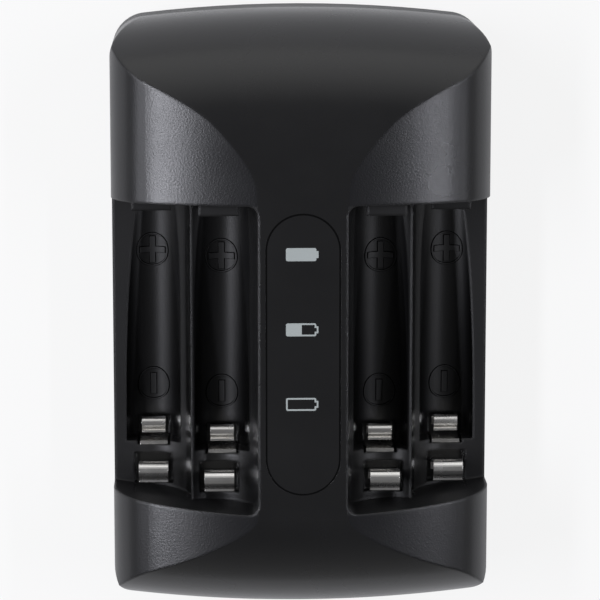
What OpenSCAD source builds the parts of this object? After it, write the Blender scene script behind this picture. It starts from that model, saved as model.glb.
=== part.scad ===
// Plug-in charger for four AA or AAA cells, lying on its back.
// X runs across, Y runs from the lower end to the upper end, Z runs from the back to the front.
// Every length is in millimetres. The back is at Z = 0 and the middle of the body at X = Y = 0.

/* [Body] */
// Width across the body
body_w = 73; // [73:0.5:78]
// Length from the lower end to the upper end
body_l = 116.5; // [115.5:0.5:124]
// Depth from the back to the flat ridge of the front
body_d = 36; // [35.5:0.25:40]
// Radius of the crown that the lobes beside the ridge follow across the width
crown_r = 88; // [80:1:140]
// Radius of the shoulder between the front and each side
shoulder_r = 11; // [8:0.5:12]
// Radius of the long roll at the upper end
upper_roll_r = 24; // [22:0.5:26]
// Radius of the slow fall that leads from the ridge into the upper roll
upper_fall_r = 80; // [72:2:96]
// Where the slow fall starts along the body
upper_fall_y = 25; // [24:0.25:26.5]
// Radius of the roll at the lower end
lower_roll_r = 21; // [18:0.5:22]
// Radius in plan of both bowed ends
end_bow_r = 265; // [240:5:400]
// Radius in plan of the four corners
corner_r = 7; // [5:0.5:9]
// Wall thickness of the two housing halves
wall = 2; // [1.6:0.1:2.4]
// Height of the joint between rear cover and front housing
joint_z = 8; // [7:0.25:8.5]
// Open line left between the two halves
joint_gap = 0.2; // [0.1:0.05:0.4]

/* [Cell bays] */
// Radius of the cradle for a 14.5 mm cell
aa_r = 7.4; // [7.3:0.05:7.6]
// Radius of the channel for a 10.5 mm cell
aaa_r = 5.3; // [5.3:0.05:5.5]
// Length of the larger cell
aa_l = 50.5; // [49.5:0.1:51]
// Length of the smaller cell
aaa_l = 44.5; // [43.5:0.1:45]
// Distance from the middle to the inner cells
inner_x = 15.95; // [15.85:0.05:16]
// Distance from the middle to the outer cells
outer_x = 28.75; // [28.7:0.05:29]
// Height of the flat floor of the outer cells
outer_floor_z = 15.5; // [15.3:0.1:16.2]
// How much higher the inner cells lie than the outer ones
floor_step = 8; // [7.5:0.1:8.5]
// Upper wall of the bays
bay_top_y = 22.9; // [22.5:0.1:23.5]
// Lower wall of the bays at the middle of the body
bay_bottom_y = -36.9; // [-37.3:0.1:-36.6]
// Wall thickness around the bays
bay_wall = 1.5; // [1.2:0.1:1.7]
// How far the small channel lies below the floor at its upper end
aaa_dip_top = 0.7; // [0.5:0.1:1]
// How far the small channel lies below the floor at its lower end
aaa_dip_bottom = 6; // [5.5:0.1:6.2]
// How far the small channel stops short of the lower wall
aaa_stop = 10.5; // [10.3:0.1:10.7]
// Radius in plan of the bay corners beside the ridge
bay_corner_r = 2; // [1:0.25:2.5]
// Shift of the inner small channel towards the middle
aaa_shift = 0.6; // [0.55:0.05:0.7]

/* [Contacts] */
// Sheet thickness of the spring contacts
leaf_t = 0.4; // [0.3:0.05:0.5]
// Width of a spring contact for the larger cell
aa_leaf_w = 5.7; // [5:0.1:6]
// Width of a spring contact for the smaller cell
aaa_leaf_w = 4.6; // [4:0.1:5]
// Free space beside each spring contact
leaf_side = 0.9; // [0.6:0.05:1]
// Depth of a contact pocket below the floor
pocket_depth = 1.4; // [1.2:0.1:1.5]
// Free space under the foot of a spring contact
seat_gap = 0.06; // [0.04:0.01:0.1]
// How far a larger cell presses its spring back
preload = 0.5; // [0.3:0.1:0.7]
// How far a smaller cell presses its spring back
aaa_press = 2; // [1.6:0.1:2.2]
// How far the face of a positive contact stands off the upper wall
plus_stand = 2.2; // [2:0.1:2.4]
// Width of the upright tab behind each smaller spring
tab_w = 5.4; // [5:0.1:5.8]
// Sheet thickness of the tab, folded over at its top
tab_t = 0.7; // [0.6:0.05:0.8]
// Sheet thickness of the positive contacts
plate_t = 0.5; // [0.4:0.05:0.6]
// Width of a positive contact
plate_w = 6; // [5:0.25:7]
// Height of a positive contact
plate_h = 8.3; // [8:0.1:8.6]
// Least height of the front over a positive contact
plate_cover = 2.2; // [2:0.1:2.5]

/* [Indicator] */
// Width of the indicator window
window_w = 13.9; // [12:0.1:14]
// Length of the indicator window
window_l = 54; // [48:0.5:55]
// Middle of the window along the body
window_y = -5.6; // [-6:0.1:-5.2]
// Thickness of the window at its middle line
window_t = 1.6; // [1.4:0.1:1.8]
// Open line around the window
window_gap = 0.2; // [0.15:0.05:0.3]
// Distance from one indicator to the next
lamp_pitch = 14.4; // [13.5:0.1:14.8]
// Middle indicator along the body
lamp_y = -0.6; // [-1:0.1:0]
// Radius of a light pipe
pipe_r = 1.8; // [1.6:0.1:2]
// Radius of an indicator lamp
lamp_r = 1.5; // [1.3:0.1:1.6]

/* [Plug] */
// Height of the pivot of the folding plug above the back
pivot_z = 5.6; // [5.5:0.05:5.8]
// Pivot of the folding plug along the body
pivot_y = 42; // [41:0.25:43]
// Radius of the turning block
block_r = 5; // [4.8:0.05:5.2]
// Length of the turning block
block_l = 24; // [22:0.5:25]
// Radius of the pivot pins
pin_r = 1.6; // [1.4:0.05:1.8]
// Length of each pivot pin
pin_l = 1.8; // [1.6:0.05:1.9]
// Distance between the two blades
blade_pitch = 12.7; // [12.5:0.1:13]
// Width of a blade
blade_w = 6.35; // [6.2:0.05:6.4]
// Thickness of a blade
blade_t = 1.5; // [1.4:0.05:1.6]
// Free length of a blade
blade_l = 16.5; // [15.5:0.1:17]
// Free space around the turning block
turn_gap = 0.3; // [0.25:0.05:0.4]
// Running fit of the pivot pins
pin_gap = 0.06; // [0.04:0.01:0.1]

/* [Inside] */
// Thickness of the circuit board
board_t = 1.6; // [1.4:0.1:1.8]
// Underside of the circuit board
board_z = 4; // [3.8:0.1:4.2]
// Free space between the circuit board and the side walls
board_side = 1.5; // [1:0.1:2]
// Free space between the circuit board and the lower end wall
board_end = 5.25; // [4.75:0.25:6]
// Upper edge of the circuit board
board_top_y = 17.5; // [16:0.25:18]
// Distance of the screws from the sides
screw_side = 7; // [6.5:0.25:7.5]
// Distance of the upper screws from the upper end
screw_upper = 12.75; // [12.25:0.25:13.25]
// Distance of the lower screws from the lower end
screw_lower = 11.25; // [10.75:0.25:11.5]
// Radius of a screw shank
shank_r = 1.4; // [1.2:0.05:1.5]
// Radius of a screw head
head_r = 2.7; // [2.5:0.05:2.9]

/* [Hidden] */
// Names of all pieces

// Curves are drawn as true circles
$fn = 48;
// A length that reaches past every surface
far = 200;
// Small overlap that keeps two cutting shapes from ending on the same face
lap = 0.05;
// Smallest step by which a rounding is moved out, so that it meets its neighbours in clear lines
ease = 0.008;
half_w = body_w / 2;
half_l = body_l / 2;
// Edges of the circuit board and places of the screws, measured from the walls
board_w = body_w - 2 * (wall + board_side);
board_low_y = -half_l + wall + board_end;
screw_x = half_w - screw_side;
screw_top_y = half_l - screw_upper;
screw_low_y = -half_l + screw_lower;
// Distance from the middle of the body to the centre of each bowed end
bow_c = end_bow_r - half_l;
// Where the flat ridge meets the crowned lobes, and the height of the crown's own top line
ridge_x = inner_x - aa_r + 0.1;
crown_top = body_d + crown_r - sqrt(crown_r * crown_r - ridge_x * ridge_x);
// Height of the shoulder centre, where crown and shoulder share a tangent
shoulder_x = half_w - shoulder_r;
shoulder_z = crown_top - crown_r
    + sqrt(pow(crown_r - shoulder_r, 2) - pow(shoulder_x, 2));
// Centre of the plan corners
corner_x = half_w - corner_r;
corner_y = sqrt(pow(end_bow_r - corner_r, 2) - pow(corner_x, 2)) - bow_c;

// Height of the lobes at a distance from the middle line
function crown_z(x) = crown_top - crown_r + sqrt(crown_r * crown_r - x * x);
// How far the bowed lower wall has moved up at a distance from the middle line
function bow(x) = let(r = bow_c - bay_bottom_y) r - sqrt(r * r - x * x);
// Cells are counted from left to right
function cell_x(i) = [-outer_x, -inner_x, inner_x, outer_x][i - 1];
function is_inner(i) = i == 2 || i == 3;
function cell_floor(i) = outer_floor_z + (is_inner(i) ? floor_step : 0);
// Middle of the small channel of a cell
function aaa_x(i) = cell_x(i) - (is_inner(i) ? sign(cell_x(i)) * aaa_shift : 0);
// Where the small channels end
aaa_end_y = bay_bottom_y + aaa_stop;
// Slope of the small channel
aaa_tilt = atan((aaa_dip_bottom - aaa_dip_top) / (bay_top_y - bay_bottom_y - aaa_stop));
// Face of the positive contacts, and nose of each spring when no cell is in the bay
plus_y = bay_top_y - plus_stand;
aa_nose_y = plus_y - aa_l + preload;
aaa_nose_y = plus_y - aaa_l + aaa_press;

// Bent profile of the springs from the heel of the foot, each step a straight run or a bend
// of an angle and a radius. The heel starts raised, so that the foot rocks flat under load.
aa_heel = -8;
aaa_heel = -18;
aa_steps = [[0, 1.2], [86, 0.6], [0, 6.3], [150, 1.5], [0, 0.6], [-50, 0.5], [0, 0.4]];
aaa_steps = [[0, 1.2], [96, 0.5], [0, 5.0], [150, 1.05], [0, 0.7], [-62, 0.4], [0, 0.3]];
// Points along a strip of runs and bends, each with the heading there
function walk(steps, k, p, h) =
    k == len(steps) ? [] :
    let(s = steps[k], a = s[0], r = s[1])
    a == 0 ?
        let(q = p + r * [cos(h), sin(h)])
        concat([[q, h]], walk(steps, k + 1, q, h)) :
        let(w = sign(a), c = p + w * r * [-sin(h), cos(h)], n = ceil(abs(a) / 10))
        concat(
            [for (j = [1:n]) let(g = h + a * j / n) [c + w * r * [sin(g), -cos(g)], g]],
            walk(steps, k + 1, c + w * r * [sin(h + a), -cos(h + a)], h + a));
// Nose, backward reach, front of the root, drop and rise of a spring, from the heel of its foot
function leaf_nose(steps, h) = max([for (q = walk(steps, 0, [0, 0], h)) if (q[0][1] > 2) q[0][0]]);
function leaf_back(steps, h) = min([for (q = walk(steps, 0, [0, 0], h)) q[0][0]]);
function leaf_front(steps, h) = max([for (q = walk(steps, 0, [0, 0], h)) if (q[0][1] < 1.5) q[0][0]]);
function leaf_drop(steps, h) = -min([for (q = walk(steps, 0, [0, 0], h)) q[0][1]]);
function leaf_rise(steps, h) = max([for (q = walk(steps, 0, [0, 0], h)) q[0][1]]);
// Where the heel of each spring is
aa_foot_y = aa_nose_y - leaf_nose(aa_steps, aa_heel) - leaf_t / 2;
aaa_foot_y = aaa_nose_y - leaf_nose(aaa_steps, aaa_heel) - leaf_t / 2;
// Room behind each spring for its travel
aa_flex = 1.5;
// Open strip of each pocket in front of its spring
pocket_front = 0.5;

function pocket_z(i) = cell_floor(i) - pocket_depth;
function aaa_pocket_z(i) = cell_floor(i) - aaa_dip_bottom - pocket_depth + 0.3;

// A bar along Y through the whole part
module bar_y(x0, x1, y0, y1, z0, z1) {
    translate([x0, y0, z0])
        cube([x1 - x0, y1 - y0, z1 - z0]);
}

// A cylinder along X, from x0 to x1
module rod_x(r, x0, x1) {
    translate([x0, 0, 0])
        rotate([0, 90, 0])
            cylinder(r = r, h = x1 - x0);
}

// Cross-section of the body: crowned lobes, round shoulders, upright sides
module barrel_section(t) {
    meet_x = (crown_r - t) * shoulder_x / (crown_r - shoulder_r);
    difference() {
        intersection() {
            translate([-half_w + t, -1])
                square([body_w - 2 * t, body_d + 3]);
            translate([0, crown_top - crown_r])
                circle(r = crown_r - t, $fn = 360);
        }
        for (s = [0, 1])
            mirror([s, 0])
                difference() {
                    translate([meet_x, shoulder_z])
                        square(2 * shoulder_r);
                    translate([shoulder_x + ease, shoulder_z + ease])
                        circle(r = shoulder_r - t);
                }
    }
}

// One bowed end, its rolled section swept about the centre of the bow.
// A slow fall, given by its radius and its start along the body, may lead into the roll.
module rolled_end(roll, t, fall_r, fall_y) {
    reach = 160;
    top = body_d;
    roll_x = end_bow_r - roll;
    fall_x = bow_c + fall_y;
    lean = fall_r > 0 ? asin((roll_x - fall_x) / (fall_r - roll)) : 0;
    roll_z = fall_r > 0 ? top - fall_r + (fall_r - roll) * cos(lean) : top - roll;
    meet_x = fall_r > 0 ? fall_x + (fall_r - t) * sin(lean) : roll_x;
    translate([0, -bow_c, 0])
        rotate([0, 0, 75])
            rotate_extrude(angle = 30, $fn = 240)
                difference() {
                    translate([end_bow_r - reach, -2])
                        square([reach - t, top - t + 2]);
                    if (fall_r > 0)
                        difference() {
                            translate([fall_x, top - far / 4])
                                square(far / 2);
                            translate([fall_x, top - fall_r])
                                circle(r = fall_r - t, $fn = 720);
                        }
                    difference() {
                        translate([meet_x, roll_z])
                            square(roll + 5);
                        translate([roll_x + ease, roll_z + ease])
                            circle(r = roll - t, $fn = 96);
                    }
                }
}

// Outer shape of the whole charger, or the same shape set in by a wall thickness
module body_form(t) {
    difference() {
        intersection() {
            rotate([90, 0, 0])
                linear_extrude(height = far, center = true)
                    barrel_section(t);
            rolled_end(upper_roll_r, t, upper_fall_r, upper_fall_y);
            mirror([0, 1, 0])
                rolled_end(lower_roll_r, t, 0, 0);
        }
        for (sx = [0, 1], sy = [0, 1])
            mirror([sx, 0, 0])
                mirror([0, sy, 0])
                    corner_cut(t);
    }
}

// What the rounded plan corner takes away
module corner_cut(t) {
    meet_x = (end_bow_r - t) * corner_x / (end_bow_r - corner_r);
    translate([0, 0, -2])
        linear_extrude(height = far)
            difference() {
                translate([meet_x, corner_y])
                    square(3 * corner_r);
                translate([corner_x + ease, corner_y + ease])
                    circle(r = corner_r - t);
            }
}

// The space of one bay on the right side, or the same space with its walls
module bay(g) {
    inner_floor = outer_floor_z + floor_step;
    intersection() {
        union() {
            bar_y(outer_x, far, -far / 2, bay_top_y + g, outer_floor_z - g, far);
            bar_y(outer_x - aa_r - g, outer_x + lap, -far / 2, bay_top_y + g, outer_floor_z + aa_r, far);
            translate([outer_x, bay_top_y + g, outer_floor_z + aa_r])
                rotate([90, 0, 0])
                    cylinder(r = aa_r + g, h = far);
            bar_y(inner_x - aa_r - g, far, -far / 2, bay_top_y + g, inner_floor + aa_r, far);
            translate([inner_x, bay_top_y + g, inner_floor + aa_r])
                rotate([90, 0, 0])
                    cylinder(r = aa_r + g, h = far);
        }
        translate([0, bow_c, 0])
            cylinder(r = bow_c - bay_bottom_y + g, h = far, $fn = 96);
    }
    aaa_channel(3, g);
    aaa_channel(4, g);
}

// Sloping channel for the smaller cell below a cradle
module aaa_channel(i, g) {
    top_z = cell_floor(i) - aaa_dip_top + aaa_r;
    intersection() {
        translate([aaa_x(i), bay_top_y, top_z])
            rotate([aaa_tilt, 0, 0]) {
                rotate([90, 0, 0])
                    cylinder(r = aaa_r + g, h = 3 * aaa_l, center = true);
                translate([-aaa_r - g, -1.5 * aaa_l, 0])
                    cube([2 * (aaa_r + g), 3 * aaa_l, aa_r]);
            }
        bar_y(0, far, aaa_end_y - g, bay_top_y + g - lap, 0, far);
    }
}

// Pockets of the springs of one cell, or the same pockets with their walls
module pockets(i, g) {
    wa = aa_leaf_w / 2 + leaf_side + g;
    ws = aaa_leaf_w / 2 + leaf_side + g;
    bar_y(cell_x(i) - wa, cell_x(i) + wa,
        aa_foot_y + leaf_back(aa_steps, aa_heel) - aa_flex - g, aa_nose_y + pocket_front + g,
        pocket_z(i) - g, pocket_z(i) + leaf_rise(aa_steps, aa_heel) + 1 + g);
    bar_y(aaa_x(i) - ws, aaa_x(i) + ws,
        aaa_end_y - tab_t - 0.1 - g, aaa_foot_y + leaf_front(aaa_steps, aaa_heel) + leaf_t + pocket_front + g,
        aaa_pocket_z(i) - g, cell_floor(i) + 2);
}

// Outline of the indicator window
module stadium(w, l) {
    square([w, l - w], center = true);
    translate([0, (l - w) / 2])
        circle(d = w);
    translate([0, -(l - w) / 2])
        circle(d = w);
}

window_seat_z = body_d - window_t;
window_floor = 2;

// Moulded front with the bays, the pockets of the springs and the screw posts
module front_housing() {
    color([0.05, 0.05, 0.055])
    union() {
        difference() {
            union() {
                difference() {
                    intersection() {
                        body_form(0);
                        bar_y(-far, far, -far, far, joint_z + joint_gap, far);
                    }
                    body_form(wall);
                }
                intersection() {
                    body_form(wall / 2);
                    union() {
                        for (s = [0, 1])
                            mirror([s, 0, 0])
                                bay(bay_wall);
                        for (i = [1:4])
                            pockets(i, bay_wall - 0.3);
                        translate([0, window_y, window_seat_z - window_floor])
                            linear_extrude(height = far)
                                stadium(window_w - 0.4, window_l + 3);
                        for (x = [-screw_x, screw_x], y = [screw_low_y, screw_top_y])
                            translate([x, y, joint_z])
                                cylinder(r = head_r + 0.5, h = far);
                    }
                }
            }
            for (s = [0, 1])
                mirror([s, 0, 0])
                    difference() {
                        bay(0);
                        bay_corners();
                    }
            for (i = [1:4])
                pockets(i, 0);
            translate([0, window_y, window_seat_z])
                linear_extrude(height = far)
                    stadium(window_w + 2 * window_gap, window_l + 2 * window_gap);
            for (k = [-1:1])
                translate([0, lamp_y + k * lamp_pitch, 0])
                    cylinder(r = pipe_r + 0.15, h = far);
            for (x = [-screw_x, screw_x], y = [screw_low_y, screw_top_y])
                translate([x, y, 0])
                    cylinder(r = shank_r + 0.05, h = joint_z + 8);
        }
        for (i = [1:4])
            contact_ledge(i);
    }
}

// What stays of the two bay corners beside the ridge, on the right side
module bay_corners() {
    r = bay_corner_r;
    ridge = inner_x - aa_r;
    for (end = [[bay_top_y, 1], [bay_bottom_y + bow(ridge + r), -1]])
        translate([ridge, end[0], outer_floor_z + floor_step + 2])
            linear_extrude(height = far)
                scale([1, end[1]])
                    difference() {
                        translate([-0.6, -r])
                            square(r + 0.6);
                        translate([r - ease, -r + ease])
                            circle(r = r);
                    }
}

// Ledge of the upper wall over a positive contact
module contact_ledge(i) {
    reach = plate_w / 2 + 0.8;
    bar_y(cell_x(i) - reach, cell_x(i) + reach, plus_y + lap, bay_top_y + bay_wall / 2,
        cell_floor(i) + plate_top(i) + 0.3, cell_floor(i) + plate_top(i) + 1.5);
}

// Shape of the hollow that takes the folded plug, or the same hollow with its walls
module plug_hollow(g) {
    translate([0, pivot_y, pivot_z])
        rod_x(block_r + turn_gap + g, -block_l / 2 - turn_gap - g, block_l / 2 + turn_gap + g);
    bar_y(-block_l / 2 - turn_gap - g, block_l / 2 + turn_gap + g,
        pivot_y - block_r - turn_gap - g, pivot_y + block_r + turn_gap + g, -1, pivot_z);
    for (s = [-1, 1])
        bar_y(s * blade_pitch / 2 - blade_t / 2 - 0.9 - g, s * blade_pitch / 2 + blade_t / 2 + 0.9 + g,
            pivot_y - block_r - blade_l - 1 - g, pivot_y, -1, pivot_z + blade_w / 2 + 0.5 + g);
    bar_y(-3.2 - g, 3.2 + g, pivot_y - block_r - 9 - g, pivot_y, -1, 4.2 + g);
}

// Moulded back with the plug hollow, the board posts and the screw bosses
module rear_cover() {
    color([0.06, 0.06, 0.065])
    difference() {
        union() {
            difference() {
                intersection() {
                    body_form(0);
                    bar_y(-far, far, -far, far, 0, joint_z);
                }
                intersection() {
                    body_form(wall);
                    bar_y(-far, far, -far, far, wall, far);
                }
            }
            lip();
            plug_hollow_walls();
            for (x = [-screw_x, screw_x], y = [screw_low_y, screw_top_y])
                translate([x, y, 1])
                    cylinder(r = head_r + 1.5, h = joint_z - 1);
            for (x = [-board_post_x, board_post_x], y = board_post_y)
                translate([x, y, 1]) {
                    cylinder(r = 2.6, h = board_z - 1);
                    cylinder(r = board_pin_r, h = board_z - 1 + board_t + 1);
                }
        }
        plug_hollow(0);
        translate([0, pivot_y, pivot_z])
            rod_x(pin_r + pin_gap, -block_l / 2 - pin_l - 0.2, block_l / 2 + pin_l + 0.2);
        for (x = [-screw_x, screw_x], y = [screw_low_y, screw_top_y])
            translate([x, y, -1]) {
                cylinder(r = shank_r + 0.15, h = far);
                cylinder(r = head_r + 0.3, h = 1 + screw_seat_z);
            }
        for (k = [0:4])
            translate([0, -16 - k * 4, -1])
                linear_extrude(height = wall + 2)
                    rotate(90)
                        stadium(1.4, 26);
    }
}

board_post_x = 24;
board_post_y = [-27, 10];
board_pin_r = 1.3;
screw_seat_z = 4;

// Walls of the plug hollow, up from the floor of the cover
module plug_hollow_walls() {
    intersection() {
        plug_hollow(bay_wall + 0.5);
        bar_y(-far, far, -far, far, 0.5, far);
    }
}

// Locating lip along both ends that keeps the halves in line
module lip() {
    difference() {
        intersection() {
            body_form(wall + 0.15);
            bar_y(-far, far, -far, far, joint_z - 2, joint_z + 1.6);
        }
        body_form(wall + 1.25);
        bar_y(-far, far, bay_bottom_y - 9, bay_top_y + 10, -1, far);
    }
    // Band under the lip that joins it to the wall
    difference() {
        intersection() {
            body_form(wall - 0.5);
            bar_y(-far, far, -far, far, joint_z - 3, joint_z);
        }
        body_form(wall + 1.25);
        bar_y(-far, far, bay_bottom_y - 9, bay_top_y + 10, -1, far);
    }
}

// Dark lens set flush into the ridge
module indicator_window() {
    color([0.1, 0.1, 0.11])
    intersection() {
        body_form(0);
        translate([0, window_y, window_seat_z])
            linear_extrude(height = far)
                stadium(window_w, window_l);
    }
}

lamp_base_z = board_z + board_t;
lamp_top_z = lamp_base_z + 5.3;

// Clear moulding that carries the light of the three lamps to the window
module light_guide() {
    color([0.85, 0.88, 0.9])
    union() {
        for (k = [-1:1])
            translate([0, lamp_y + k * lamp_pitch, lamp_top_z + 0.5])
                cylinder(r = pipe_r, h = window_seat_z - lamp_top_z - 0.5);
        bar_y(-1.1, 1.1, lamp_y - lamp_pitch, lamp_y + lamp_pitch,
            window_seat_z - window_floor - 2.6, window_seat_z - window_floor - 0.1);
    }
}

// Round lamp with a flange and a domed top, and its two legs
module lamp(k) {
    translate([0, lamp_y + k * lamp_pitch, lamp_base_z]) {
        cylinder(r = lamp_r + 0.35, h = 1);
        cylinder(r = lamp_r, h = 5.3 - lamp_r);
        translate([0, 0, 5.3 - lamp_r])
            sphere(r = lamp_r);
        for (s = [-1, 1])
            translate([0, s * 0.9, -board_t - 0.8])
                cylinder(r = 0.25, h = board_t + 1);
    }
}

module led_full() {
    color([0.3, 0.8, 0.35])
        lamp(1);
}

module led_half() {
    color([0.85, 0.7, 0.25])
        lamp(0);
}

module led_empty() {
    color([0.85, 0.3, 0.25])
        lamp(-1);
}

// Board on the four posts of the rear cover
module circuit_board() {
    color([0.1, 0.35, 0.2])
    difference() {
        bar_y(-board_w / 2, board_w / 2, board_low_y, board_top_y, board_z, board_z + board_t);
        for (x = [-board_post_x, board_post_x], y = board_post_y)
            translate([x, y, 0])
                cylinder(r = board_pin_r + 0.1, h = far);
        for (s = [0, 1])
            mirror([s, 0, 0])
                bar_y(screw_x - head_r - 2, far, -far, screw_low_y + head_r + 2, 0, far);
        for (k = [-1:1], s = [-1, 1])
            translate([0, lamp_y + k * lamp_pitch + s * 0.9, 0])
                cylinder(r = 0.3, h = far);
    }
}

core_y = board_low_y + 5.8;

// Ferrite core of the transformer, two half cores round the winding
module transformer_core() {
    color([0.25, 0.25, 0.27])
    translate([0, core_y, lamp_base_z])
        difference() {
            bar_y(-8, 8, -4, 4, 1.2, 13.2);
            for (s = [-1, 1])
                bar_y(s * 4.5 - 2, s * 4.5 + 2, -5, 5, 3.6, 10.8);
        }
}

// Coil on its bobbin, with the pins that hold it on the board
module transformer_winding() {
    color([0.75, 0.55, 0.2])
    translate([0, core_y, lamp_base_z])
        difference() {
            union() {
                bar_y(-6.4, 6.4, -6, 6, 3.7, 10.7);
                bar_y(-7.4, 7.4, -6.6, -4.1, 0, 11.6);
                bar_y(-7.4, 7.4, 4.1, 6.6, 0, 11.6);
            }
            for (s = [-1, 1])
                bar_y(s * 7.25 - 0.75, s * 7.25 + 0.75, -4.05, 4.05, 1.1, 13.3);
            bar_y(-2.55, 2.55, -4.05, 4.05, 1.1, 13.3);
        }
}

// Rolled can with a grooved neck and a vented top
module can(r, h) {
    rotate_extrude()
        polygon([[0, 0], [r, 0], [r, 1.4], [r - 0.4, 1.9], [r, 2.4],
            [r, h - 0.4], [r - 0.4, h], [r - 0.9, h], [r - 0.9, h - 0.25], [0, h - 0.25]]);
}

module input_capacitor() {
    color([0.15, 0.2, 0.4])
        translate([-15.5, core_y, lamp_base_z])
            can(5, 14);
}

module output_capacitor() {
    color([0.15, 0.2, 0.4])
        translate([14.5, core_y, lamp_base_z])
            can(4, 12);
}

// Moulded bridge with four legs
module bridge_rectifier() {
    color([0.12, 0.12, 0.13])
    translate([18, 4, lamp_base_z]) {
        difference() {
            bar_y(-4, 4, -3, 3, 0.3, 3.2);
            bar_y(-5, -3.4, -1, 1, 2.6, 4);
        }
        for (x = [-2.6, 2.6], y = [-2, 2])
            translate([x, y, 0])
                cylinder(r = 0.4, h = 1);
    }
}

// Flat chip with gull-wing legs
module controller_chip() {
    color([0.1, 0.1, 0.11])
    translate([0, lamp_y - lamp_pitch - 7.8, lamp_base_z])
        union() {
            difference() {
                bar_y(-2, 2, -5, 5, 0.15, 1.7);
                translate([-1.2, 4, 1.5])
                    cylinder(r = 0.4, h = 1);
            }
            for (s = [-1, 1], k = [0:7]) {
                bar_y(min(s * 1.9, s * 2.6), max(s * 1.9, s * 2.6),
                    -4.65 + k * 1.27, -4.25 + k * 1.27, 0.6, 0.85);
                bar_y(min(s * 2.4, s * 2.65), max(s * 2.4, s * 2.65),
                    -4.65 + k * 1.27, -4.25 + k * 1.27, 0, 0.85);
                bar_y(min(s * 2.4, s * 3.2), max(s * 2.4, s * 3.2),
                    -4.65 + k * 1.27, -4.25 + k * 1.27, 0, 0.25);
            }
        }
}

// Round fuse on two legs
module fuse() {
    color([0.7, 0.6, 0.45])
    translate([-18, 4, lamp_base_z]) {
        translate([0, 0, 2.6])
            rotate([90, 0, 0])
                rotate_extrude()
                    translate([0, -4.5])
                        polygon([[0, 0], [1.6, 0], [2, 0.5], [2, 1.6], [1.7, 2], [1.7, 7],
                            [2, 7.4], [2, 8.5], [1.6, 9], [0, 9]]);
        for (y = [-3.6, 3.6])
            translate([0, y, 0])
                cylinder(r = 0.4, h = 1.2);
    }
}

choke_x = 12;
choke_y = -29.5;

// Ring-wound choke on a small foot
module choke() {
    color([0.7, 0.4, 0.15])
    translate([choke_x, choke_y, lamp_base_z])
        difference() {
            rotate_extrude()
                translate([2.9, 1.7])
                    circle(r = 1.7);
            translate([0, 0, -1])
                cylinder(r = 0.8, h = 10);
        }
}

// Sheet strip of one thickness along a path of runs and bends
module leaf(steps, heading, t) {
    path = concat([[[0, 0], heading]], walk(steps, 0, [0, 0], heading));
    n = len(path);
    polygon(concat(
        [for (k = [0:n - 1]) path[k][0] + t / 2 * [-sin(path[k][1]), cos(path[k][1])]],
        [for (k = [n - 1:-1:0]) path[k][0] - t / 2 * [-sin(path[k][1]), cos(path[k][1])]]));
}

// A strip profile set upright in a bay, its start at a place along Y and Z
module leaf_at(steps, t, w, x, y, z, heading) {
    translate([x - w / 2, y, z])
        rotate([90, 0, 90])
            linear_extrude(height = w)
                leaf(steps, heading, t);
}

module aa_contact(i) {
    color([0.8, 0.8, 0.78])
        leaf_at(aa_steps, leaf_t, aa_leaf_w, cell_x(i), aa_foot_y,
            pocket_z(i) + seat_gap + leaf_t / 2 + leaf_drop(aa_steps, aa_heel), aa_heel);
}

module aaa_contact(i) {
    color([0.8, 0.8, 0.78])
        leaf_at(aaa_steps, leaf_t, aaa_leaf_w, aaa_x(i), aaa_foot_y,
            aaa_pocket_z(i) + seat_gap + leaf_t / 2 + leaf_drop(aaa_steps, aaa_heel), aaa_heel);
}

// Upright tab in the end wall of a small channel, its edge level with the floor of the bay
module spring_tab(i) {
    color([0.8, 0.8, 0.78])
        bar_y(aaa_x(i) - tab_w / 2, aaa_x(i) + tab_w / 2,
            aaa_end_y - tab_t - seat_gap, aaa_end_y - seat_gap,
            aaa_pocket_z(i) + seat_gap, cell_floor(i) - seat_gap);
}

// Height of the top of a positive contact above the floor of its bay
function plate_top(i) = min(plate_h,
    crown_z(abs(cell_x(i)) + plate_w / 2) - cell_floor(i) - plate_cover);

// Bent plate against the upper wall, its pad facing the cell
module positive_contact(i) {
    stand = plus_stand - seat_gap - plate_t;
    r = 0.5;
    run = (stand - 2 * r * (1 - cos(50))) / sin(50);
    steps = [[0, 1], [50, r], [0, run], [-50, r], [0, plate_top(i) - 4.3], [-50, r], [0, 0.8]];
    color([0.8, 0.8, 0.78])
        leaf_at(steps, plate_t, plate_w, cell_x(i),
            bay_top_y - plate_t / 2 - seat_gap, cell_floor(i) + 0.6, 90);
}

// Turning block with its two pivot pins and the sockets of the blades
module plug_block() {
    color([0.07, 0.07, 0.075])
    difference() {
        translate([0, pivot_y, pivot_z]) {
            rod_x(block_r, -block_l / 2, block_l / 2);
            rod_x(pin_r, -block_l / 2 - pin_l, block_l / 2 + pin_l);
        }
        blade_body(-1);
        blade_body(1);
        translate([0, pivot_y - block_r - 0.6, pivot_z])
            rod_x(1.6, -3, 3);
    }
}

// Flat blade with a chamfered tip and a round hole near it
module blade_body(s) {
    x = s * blade_pitch / 2;
    tip = pivot_y - block_r - blade_l;
    h = blade_w / 2;
    translate([x - blade_t / 2, 0, pivot_z])
        rotate([90, 0, 90])
            linear_extrude(height = blade_t)
                difference() {
                    polygon([[pivot_y - 1, -h], [pivot_y - 1, h], [tip + 1.6, h], [tip, h - 1.6],
                        [tip, -h + 1.6], [tip + 1.6, -h]]);
                    translate([tip + 4.2, 0])
                        circle(d = 3);
                }
}

module plug_blade_left() {
    color([0.8, 0.72, 0.45])
        blade_body(-1);
}

module plug_blade_right() {
    color([0.8, 0.72, 0.45])
        blade_body(1);
}

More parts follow.
